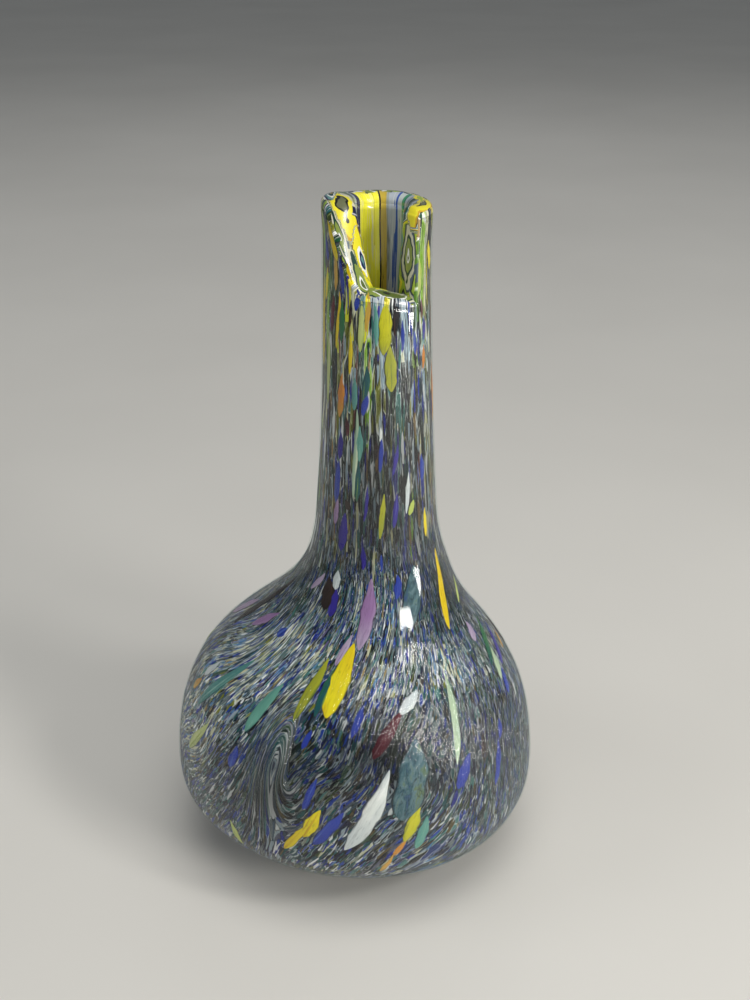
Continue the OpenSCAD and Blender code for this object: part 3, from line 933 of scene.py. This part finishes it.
def chip_points(chip, seed):
    """Rings of points along one chip, each with its place on the chip, its nearness to the edge
    and the chip's seed."""
    az0, z0, length, width, lean, bend = (*chip, 0)[:6]
    s0, lean, made = path_of(z0), radians(lean), []
    for i in range(CHIP_LONG + 1):
        t = 2 * i / CHIP_LONG - 1
        end = abs(t) ** (TIP_POWER if t > 0 else FOOT_POWER)
        half = CHIP_HALF * width * max(0.0, 1 - end) ** END_POWER
        for wave in WIDTH_WAVES:
            half *= 1 + chip_wave(t, seed, *wave)
        half = max(half, LEAST_HALF)
        mid_x = bend * (1 - t * t) + chip_wave(t, seed, *MIDDLE_WAVE)
        for j in range(CHIP_ACROSS):
            turn = 2 * pi * j / CHIP_ACROSS
            v = cos(turn)
            x, y = mid_x + half * v, t * length / 2
            s = s0 + y * cos(lean) - x * sin(lean)
            radius = OUTSIDE.at(s)[0]
            az = az0 + degrees((x * cos(lean) + y * sin(lean)) / radius)
            depth = seen_depth(az, s)
            dome = CHIP_RISE * min(1.0, half / FULL_RISE, depth / SEEN_DEPTH) * sin(turn)
            edge = max(abs(v), abs(t) ** END_EDGE) if sin(turn) > UNDER else 1.0
            place = (x + 31 * seed, y, 17 * seed)
            made.append((wall_point(az, s, depth + SKIN_GAP - dome), place, edge, seed))
    return made


def chips_piece(kind):
    made, faces = [], []
    for n, chip in enumerate(CHIPS[kind]):
        start = len(made)
        made += chip_points(chip, (n * 0.37 + len(kind) * 0.21) % 1)
        chip_faces = ring_faces(CHIP_LONG + 1, CHIP_ACROSS)
        chip_faces.append(tuple(range(CHIP_ACROSS - 1, -1, -1)))
        chip_faces.append(tuple(CHIP_LONG * CHIP_ACROSS + k for k in range(CHIP_ACROSS)))
        faces += [tuple(start + i for i in face) for face in chip_faces]
    points, places, edges, seeds = unzipped(made)
    piece = new_piece(kind + "_chips", points, faces)
    give(piece, chip_place=places, chip_edge=edges, chip_seed=seeds)
    stand_for(piece, kind + "_shards", chip_material(kind))


def coat_piece():
    piece, places = shell("coat", COAT_STEP, COLUMNS, seen_depth, lambda az, s: CASING_T + COAT_T)
    flowed = [flow(az, s) for az, s in places]
    give(piece, flow_body=[around(az, s, BELLY_R) for az, s in flowed],
         flow_neck=[around(az, s, NECK_R) for az, s in flowed],
         shade=[tone_and_shade(az, s) for az, s in places],
         up=[OUTSIDE.at(s)[1] / RIM_Z for _, s in places])
    stand_for(piece, "colour_coat", coat_material())


def casing_piece():
    """The casing, thinner than the real one, since the coat is drawn as deep as it seems to lie."""
    piece, places = shell("casing", CASING_STEP, COLUMNS // 2, lambda az, s: 0.0,
                          lambda az, s: CASING_SHARE * seen_depth(az, s))
    heights = [OUTSIDE.at(s)[1] for _, s in places]
    give(piece, flow_body=[around(*flow(az, s), BELLY_R) for az, s in places],
         ripple=[RIPPLE * (1 - ease((z - RIPPLE_Z) / RIPPLE_FADE)) for z in heights])
    stand_for(piece, "outer_casing", casing_material())


def lining_piece():
    """The clear lining: the hollow's wall inside, and the face that the coat lies on outside."""
    columns = COLUMNS // 2
    azimuths = [azimuth(k, columns) for k in range(columns)]
    throat = HOLLOW.path_at_height(THROAT_Z)
    inner = [[(az, throat * i / HOLLOW_RINGS) for az in azimuths] for i in range(HOLLOW_RINGS)]
    inner += [[(az, throat + (cut_height(az) - THROAT_Z) * j / BORE_RINGS) for az in azimuths]
              for j in range(BORE_RINGS + 1)]
    outer = wall_rings(LINING_STEP, columns)[::-1]
    points = [bore_point(az, s) for ring in inner for az, s in ring]
    points += [wall_point(az, s, CASING_T + COAT_T + SKIN_GAP) for ring in outer for az, s in ring]
    faces = [f[::-1] for f in ring_faces(len(inner) + len(outer), columns)]
    last = (len(inner) + len(outer) - 1) * columns
    faces += [tuple(range(last, last + columns)), tuple(range(columns))]
    piece = new_piece("lining", points, faces)
    places = [p for ring in inner + outer for p in ring]
    give(piece, flow_neck=[around(az, s, NECK_R) for az, s in places],
         turn=[az % 360 / 360 for az, _ in places])
    stand_for(piece, "inner_gather", lining_material())


# The eyes of the lip's pattern: azimuth, place across from outside to inside, length, width, and
# where in the rings of colour its middle starts
LIP_EYES = [
    (-92, 0.4, 7, 0.22, 0.2), (-66, 0.52, 7, 0.3, 0.0), (-50, 0.24, 8, 0.16, 0.56),
    (-38, 0.66, 8, 0.22, 0.28), (-24, 0.4, 9, 0.2, 0.52), (-8, 0.6, 8, 0.26, 0.74),
    (12, 0.36, 6, 0.24, 0.46), (34, 0.55, 7, 0.24, 0.64), (50, 0.45, 8, 0.26, 0.55),
    (72, 0.4, 7, 0.24, 0.0), (98, 0.5, 9, 0.22, 0.75), (128, 0.4, 8, 0.26, 0.62),
    (160, 0.3, 9, 0.2, 0.44), (182, 0.5, 4, 0.3, 0.49), (204, 0.35, 9, 0.24, 0.7),
    (232, 0.45, 8, 0.24, 0.25), (252, 0.55, 7, 0.22, 0.5)]
# Each ring round an eye is between an oval (2) and a lozenge (1)
EYE_SHAPE = 1.35
# The bore's bands come up over the lip by so much, though less at the scoop
BORE_SHARE, SCOOP_SHARE, SCOOP_AZ, SCOOP_REACH = 0.42, 0.32, 0, 70
# Steps over the lip from outside to inside, and columns to each side that give its slope
LIP_ARC, LIP_SPAN = 24, 4
# The lip's shape: how far it leans back on a slope, its least rise there and how round it is
LIP_LEAN, LIP_LEAST, LIP_ROUND = 0.5, 0.35, 0.8
LIP_PATH = 6  # how far the wall's streaks run on over the lip


def eye_rings(along, across, eye_paths, around_length):
    """How many rings a spot on the lip is from the nearest eye, and that eye's first colour."""
    best = (1e9, 0.0)
    for path, (_, v, length, width, first) in zip(eye_paths, LIP_EYES):
        x = (along - path + around_length / 2) % around_length - around_length / 2
        far = abs(x / length) ** EYE_SHAPE + abs((across - v) / width) ** EYE_SHAPE
        best = min(best, (far ** (1 / EYE_SHAPE), first))
    return best


def lip_piece():
    """The rounded lip, square to the cut edge all the way round."""
    columns, arc = 2 * COLUMNS, LIP_ARC
    throat = HOLLOW.path_at_height(THROAT_Z)
    azimuths = [azimuth(k, columns) for k in range(columns)]
    outer = [wall_point(az, NECK_PATH + cut_height(az) - NECK_Z) for az in azimuths]
    inner = [bore_point(az, throat + cut_height(az) - THROAT_Z) for az in azimuths]
    middles = [(a + b) / 2 for a, b in zip(outer, inner)]
    along = [0.0]
    for a, b in zip(middles, middles[1:] + middles[:1]):
        along.append(along[-1] + (b - a).length / MM)
    eye_paths = [along[min(range(columns), key=lambda k: abs(away(azimuths[k], eye[0])))]
                 for eye in LIP_EYES]

    made = []
    for j in range(arc + 1):
        t = pi * j / arc
        for k in range(columns):
            run = outer[(k + LIP_SPAN) % columns] - outer[k - LIP_SPAN]
            rise = atan2(run.z, hypot(run.x, run.y))
            a = radians(azimuths[k])
            back = -LIP_LEAN * LIP_H * sin(rise)
            up = LIP_H * max(LIP_LEAST, cos(rise))
            lift = Vector((back * cos(a), back * sin(a), up)) * MM
            half = (inner[k] - outer[k]) / 2
            point = middles[k] - half * cos(t) + sin(t) ** LIP_ROUND * lift
            scoop = bell(away(azimuths[k], SCOOP_AZ) / SCOOP_REACH)
            inward = j / arc - 1 + BORE_SHARE - SCOOP_SHARE * scoop
            up_wall = NECK_PATH + cut_height(azimuths[k]) - NECK_Z + LIP_PATH * j / arc
            ring, first = eye_rings(along[k], j / arc, eye_paths, along[-1])
            flowed = around(azimuths[k], up_wall, NECK_R)
            made.append((point, j / arc, inward, ring, first, flowed))
    faces = ring_faces(arc + 1, columns)
    start, inside = len(made), len(made) + columns
    made += [(point, 0.5, -1.0, 0.0, 0.0, (0, 0, 0)) for point in outer + inner]
    for k in range(columns):
        m = (k + 1) % columns
        faces.append((start + k, inside + k, inside + m, start + m))
    points, across, inward, rings, firsts, flows = unzipped(made)
    piece = new_piece("lip", points, faces)
    give(piece, across=across, inward=inward, ring=rings, eye=firsts, flow_neck=flows,
         rim_place=[tuple(p / MM) for p in points],
         turn=[az % 360 / 360 for az in azimuths * (arc + 3)],
         up=[cut_height(az) / RIM_Z for az in azimuths * (arc + 3)])
    stand_for(piece, "rim_lip", lip_material())


# The pad's outline from the middle of its hollow underside to its rounded foot
PAD_ROUND = 1.6
PAD_UNDER = [(0.01, 0.25), (4, 0.25), (9, 0.2), (14, 0.05), (16.5, 0), (BASE_R - PAD_ROUND, 0)]
PAD_TURNS = (0.3, 0.6, 0.9, 1.2, 1.57)


def pad_piece():
    columns = 128
    profile = PAD_UNDER + [(BASE_R - PAD_ROUND + PAD_ROUND * sin(t),
                            PAD_ROUND - PAD_ROUND * cos(t)) for t in PAD_TURNS]
    profile += [(BASE_R, PAD_T), (BASE_R * 0.5, PAD_T), (0.01, PAD_T)]
    points = [Vector((BASE_SHIFT + r * sin(2 * pi * k / columns),
                      -r * cos(2 * pi * k / columns), z)) * MM
              for r, z in profile for k in range(columns)]
    piece = new_piece("pad", points, ring_faces(len(profile), columns))
    stand_for(piece, "base_pad", pad_material())


# ---------------- stage

CAMERA_PLACE, CAMERA_PITCH, CAMERA_LENS = (5.2, -278, 231.2), 26.33, 46.8
FLOOR_HALF = 4000
WORLD_COLOUR = (0.16, 0.17, 0.18, 1)
WARM, WARMER, COOL, COOLER = (1, 0.99, 0.97), (1, 0.98, 0.95), (0.97, 0.98, 1), (0.95, 0.97, 1)
LIGHTS_AIM = (0, 0, 70)
# Each light: azimuth, elevation, distance, size across and up, watts, colour, and whether the
# glass mirrors it
LIGHTS = {
    "key": (45, 21, 750, (200, 160), 2.1, WARMER, True),
    "strip": (65, 1, 750, (130, 110), 0.95, WARMER, True),
    "glint": (57, 37, 750, (140, 140), 1.3, WARM, True),
    "overhead": (15, 74, 1100, (900, 900), 5.9, WARM, False),
    "behind": (175, 40, 1100, (700, 700), 1.0, COOL, False),
    "left": (-80, 30, 900, (500, 600), 1.0, COOLER, False),
}


def add_camera():
    data = bpy.data.cameras.new("Camera")
    data.sensor_width = 36
    data.lens = CAMERA_LENS
    data.clip_start = 10 * MM
    camera = bpy.data.objects.new("Camera", data)
    camera.location = Vector(CAMERA_PLACE) * MM
    camera.rotation_euler = (radians(90 - CAMERA_PITCH), 0, 0)
    scene.collection.objects.link(camera)
    bpy.context.scene.camera = camera


def add_light(name, azimuth_deg, elevation, distance, size, watts, colour, mirrored):
    """A soft oval light that looks at the middle of the vase."""
    data = bpy.data.lights.new(name, "AREA")
    data.shape = "ELLIPSE"
    data.size, data.size_y = size[0] * MM, size[1] * MM
    data.energy = watts
    data.color = colour
    light = bpy.data.objects.new(name, data)
    a, e = radians(azimuth_deg), radians(elevation)
    way = Vector((sin(a) * cos(e), -cos(a) * cos(e), sin(e)))
    light.location = (Vector(LIGHTS_AIM) + way * distance) * MM
    light.rotation_euler = way.to_track_quat("Z", "Y").to_euler()
    light.visible_glossy = mirrored
    scene.collection.objects.link(light)


def add_stage():
    h = FLOOR_HALF * MM
    floor = new_piece("floor", [(-h, -h, 0), (h, -h, 0), (h, h, 0), (-h, h, 0)], [(0, 1, 2, 3)])
    floor.data.materials.append(floor_material())
    world = bpy.data.worlds.new("Studio")
    world.use_nodes = True
    world.node_tree.nodes["Background"].inputs[0].default_value = WORLD_COLOUR
    scene.world = world
    for name, light in LIGHTS.items():
        add_light(name, *light)
    scene.view_settings.view_transform = "Standard"


add_camera()
add_stage()
coat_piece()
casing_piece()
lining_piece()
lip_piece()
pad_piece()
for kind in CHIPS:
    chips_piece(kind)
